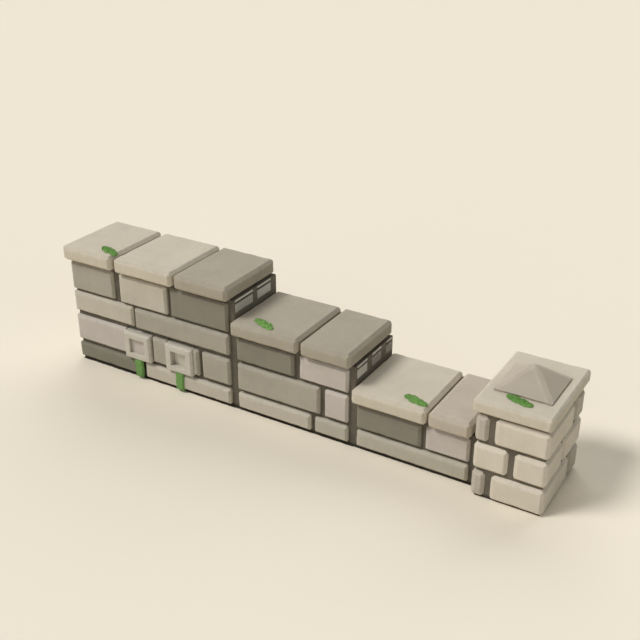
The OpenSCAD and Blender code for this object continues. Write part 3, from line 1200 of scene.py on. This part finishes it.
@dataclass
class WeepStreak:
    """A green film that runs from a weep surround to the foot of the wall.

    Attributes:
        name: Name of the piece.
        left: Left side of the film.
        right: Right side of the film.
        top: Height of its upper end.
        foot: Height of its lower end.
        face: Where the stone's face is.
        thick: How far it stands out.
        seed: Seed of its chance.
        across: Number of cells across.
        down: Number of cells from the top to the foot.
    """

    name: str
    left: float
    right: float
    top: float = 0.172
    foot: float = 0.019
    face: float = -0.288
    thick: float = 0.02
    seed: int = 1
    across: int = 16
    down: int = 30

    def ring(self, mesh: Mesh, share: float, offset: Vector) -> list[Point]:
        """Add the points at one height, with wavy sides and a lumpy front.

        Args:
            mesh: Mesh of the film.
            share: Share of the way from the top to the foot.
            offset: Shift of the noise.

        Returns:
            The points along the front to the right and back along the stone.
        """
        rim, sink = 0.001, 0.004
        z = self.top * (1 - share) + self.foot * share
        wave = Vector((0, 0, z * 18)) + offset
        slim = 1.0 - 0.12 * share * share
        half = (self.right - self.left) / 2 * slim * (1 + 0.07 * noise.noise(wave))
        middle = (self.left + self.right) / 2 + 0.003 * noise.noise(wave + Vector((7, 0, 0)))
        ends = min(1.0, 0.6 + 6 * min(share, 1 - share))
        front = []
        back = []
        for column in range(self.across + 1):
            side = 2 * column / self.across - 1
            x = middle + half * side
            rounded = math.sqrt(max(0.0, 1 - side**8)) * ends
            lump = 0.92 + 0.22 * noise.noise((Vector((x, 0, z)) + offset) * 60)
            depth = self.thick * rounded * max(0.3, lump)
            front.append(mesh.verts.new((x, self.face - rim - depth, z)))
            back.append(mesh.verts.new((x, self.face + sink, z)))
        return front + back[::-1]

    def build(self) -> None:
        """Make the film as a closed lumpy tongue and dress it."""
        chance = random.Random(self.seed)
        offset = Vector((chance.uniform(-9, 9), 0, chance.uniform(-9, 9)))
        mesh = bmesh.new()
        close(mesh, [self.ring(mesh, row / self.down, offset) for row in range(self.down + 1)])
        piece = finished(mesh, self.name, STREAK.material(), SOFT)
        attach(piece, "root")


@dataclass
class FootShadeStrip:
    """A black strip of painted shade packed under the stones of a bay's base course.

    Attributes:
        name: Name of the piece.
        node: Mortar core that it lies against.
        reach: How far it comes out from the mortar.
        thick: Its height.
        pitch: Distance between the points of its ragged front.
        seed: Seed of its chance.
    """

    name: str
    node: str
    reach: float
    thick: float = 0.004
    pitch: float = 0.02
    seed: int = 1

    def build(self) -> None:
        """Make the painted shade as a closed low strip and dress it."""
        chance = random.Random(self.seed)
        low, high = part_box(self.node)
        count = max(2, round((high.x - low.x) / self.pitch))
        slope, bite = 0.003, 0.002
        back = low.y + bite
        mesh = bmesh.new()
        rings = []
        for step in range(count + 1):
            x = low.x + (high.x - low.x) * step / count
            front = low.y - self.reach * chance.uniform(0.7, 1.0)
            top = self.thick * chance.uniform(0.7, 1.2)
            shoulder = (front + slope, top * 0.6)
            corners = ((front, 0.0), shoulder, (back, top), (back, 0.0))
            rings.append([mesh.verts.new((x, y, z)) for y, z in corners])
        close(mesh, rings)
        piece = finished(mesh, self.name, PAINTED_FOOT_SHADE.material(), SOFT)
        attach(piece, "root")


@dataclass
class Weathering:
    """The moss on the copings, the films below the weep surrounds and the painted shade at the foot.

    Attributes:
        shift: From the wall's left end to the middle of the frame.
    """

    shift: float = 1.984

    def build(self) -> None:
        """Make every patch, film and strip."""
        patches = (
            ("moss_high", (0.317, -0.2), (0.487, -0.255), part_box("high_coping_1")[1].z),
            ("moss_middle", (1.728, -0.206), (1.894, -0.268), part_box("middle_coping_1")[1].z),
            ("moss_low", (2.93, -0.208), (3.085, -0.264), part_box("low_coping_1")[1].z),
            ("moss_cap", (3.625, -0.23), (3.787, -0.28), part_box("pier_cap")[1].z),
        )
        for number, (name, first, last, level) in enumerate(patches):
            start = Vector((first[0] - self.shift, first[1], level))
            finish = Vector((last[0] - self.shift, last[1], level))
            Moss(name, start, finish, seed=40 + number).build()
        films = (("streak_left", 0.62, 0.699), ("streak_right", 1.019, 1.099))
        for number, (name, left, right) in enumerate(films):
            WeepStreak(name, left - self.shift, right - self.shift, seed=60 + number).build()
        # Black strips of painted shade in the gap under each bay's base stones
        strips = (("high", 0.016), ("middle", 0.013), ("low", 0.007))
        for number, (bay, reach) in enumerate(strips):
            FootShadeStrip(f"painted_shade_strip_{bay}", f"core_{bay}", reach, seed=70 + number).build()


@dataclass(frozen=True)
class Lamp:
    """A soft lamp far away.

    Attributes:
        name: Name of the lamp.
        strength: Its strength, where 1 lights white to white.
        toward: Direction on the floor that its light runs in.
        height: Its height in degrees.
        size: Its size in degrees.
        tint: Its colour.
    """

    name: str
    strength: float
    toward: tuple[float, float]
    height: float
    size: float
    tint: tuple[float, float, float] = WHITE[:3]

    def hang(self) -> None:
        """Put the lamp in the scene."""
        light = bpy.data.lights.new(self.name, "SUN")
        light.energy = self.strength * math.pi
        light.angle = math.radians(self.size)
        light.color = self.tint
        piece = bpy.data.objects.new(self.name, light)
        run = Vector(self.toward).normalized() * math.cos(math.radians(self.height))
        ray = Vector((run.x, run.y, -math.sin(math.radians(self.height))))
        piece.rotation_euler = ray.to_track_quat("-Z", "Y").to_euler()
        bpy.context.scene.collection.objects.link(piece)


@dataclass
class Studio:
    """Floor, light, backdrop and camera.

    Attributes:
        cream: Colour of the floor and backdrop.
        sky: Strength of the even light.
        lamps: The soft lamps.
        eye: Where the camera stands.
        tilt: Tilt of the camera in degrees.
        turn: Turn of the camera in degrees.
        lens: Focal length of the camera in millimetres.
    """

    cream: Colour = field(default_factory=lambda: paint(243, 233, 214))
    sky: float = 0.12
    lamps: tuple[Lamp, ...] = (
        Lamp("main_lamp", 0.64, (0.725, 0.689), 51, 20),
        Lamp("rim_lamp", 0.53, (0.22, -0.975), 34, 70),
        Lamp("front_lamp", 0.15, (0.15, 0.99), 15, 40),
        Lamp("side_lamp", 0.09, (-0.95, 0.3), 15, 40, (0.76, 0.92, 1.0)),
    )
    eye: tuple[float, float, float] = (3.3714, -5.3718, 3.9181)
    tilt: float = 63.296
    turn: float = 31.021
    lens: float = 55.92

    def floor(self) -> None:
        """Lay a wide plain floor."""
        cells, half = 24, 45
        mesh = bmesh.new()
        bmesh.ops.create_grid(mesh, x_segments=cells, y_segments=cells, size=half)
        data = bpy.data.meshes.new("studio_floor")
        mesh.to_mesh(data)
        mesh.free()
        material, wires, shader = bare_material("studio_floor", 1.0)
        wires.fill(shader, {"Specular IOR Level": 0.0, "Base Color": self.cream})
        data.materials.append(material)
        floor = bpy.data.objects.new("studio_floor", data)
        floor.location.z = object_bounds()[0][2]
        bpy.context.scene.collection.objects.link(floor)
        floor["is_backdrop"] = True

    def backdrop(self) -> None:
        """Fill the world with even light, and show it in the backdrop's colour."""
        world = bpy.data.worlds.new("studio")
        bpy.context.scene.world = world
        world.use_nodes = True
        wires = Wiring(world.node_tree)
        wires.tree.nodes.clear()
        ray = wires.add("LightPath", {}).outputs
        seen = wires.joined(ray["Is Camera Ray"], ray["Is Glossy Ray"], "MAXIMUM")
        seen = wires.joined(seen, ray["Is Transmission Ray"], "MAXIMUM")
        shown = wires.add("Background", {"Color": self.cream})
        light = wires.add("Background", {"Color": WHITE, "Strength": self.sky})
        mix = wires.add("MixShader", {"Fac": seen, 1: light.outputs[0], 2: shown.outputs[0]})
        wires.add("OutputWorld", {"Surface": mix.outputs[0]})

    def camera(self) -> None:
        """Set up the camera at the photograph's viewing angle."""
        data = bpy.data.cameras.new("camera")
        data.lens = self.lens
        data.sensor_width = 36
        data.clip_end = 200
        camera = bpy.data.objects.new("camera", data)
        camera.location = self.eye
        camera.rotation_euler = Euler((math.radians(self.tilt), 0, math.radians(self.turn)))
        bpy.context.scene.collection.objects.link(camera)
        bpy.context.scene.camera = camera

    def build(self) -> None:
        """Set up the whole studio."""
        bpy.context.scene.view_settings.view_transform = "Standard"
        self.floor()
        for lamp in self.lamps:
            lamp.hang()
        self.backdrop()
        self.camera()


def main() -> None:
    """Build and dress the wall, then set up the studio."""
    logging.basicConfig(level=logging.INFO, format="%(name)s %(message)s")
    stones = (COPINGS, FACE_STONES, WeepHoles(), EndStones(), BACK_STONES, Pier())
    for work in stones + (MortarCores(),):
        work.dress()
    Weathering().build()
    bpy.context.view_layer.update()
    Studio().build()


if __name__ == "__main__":
    main()
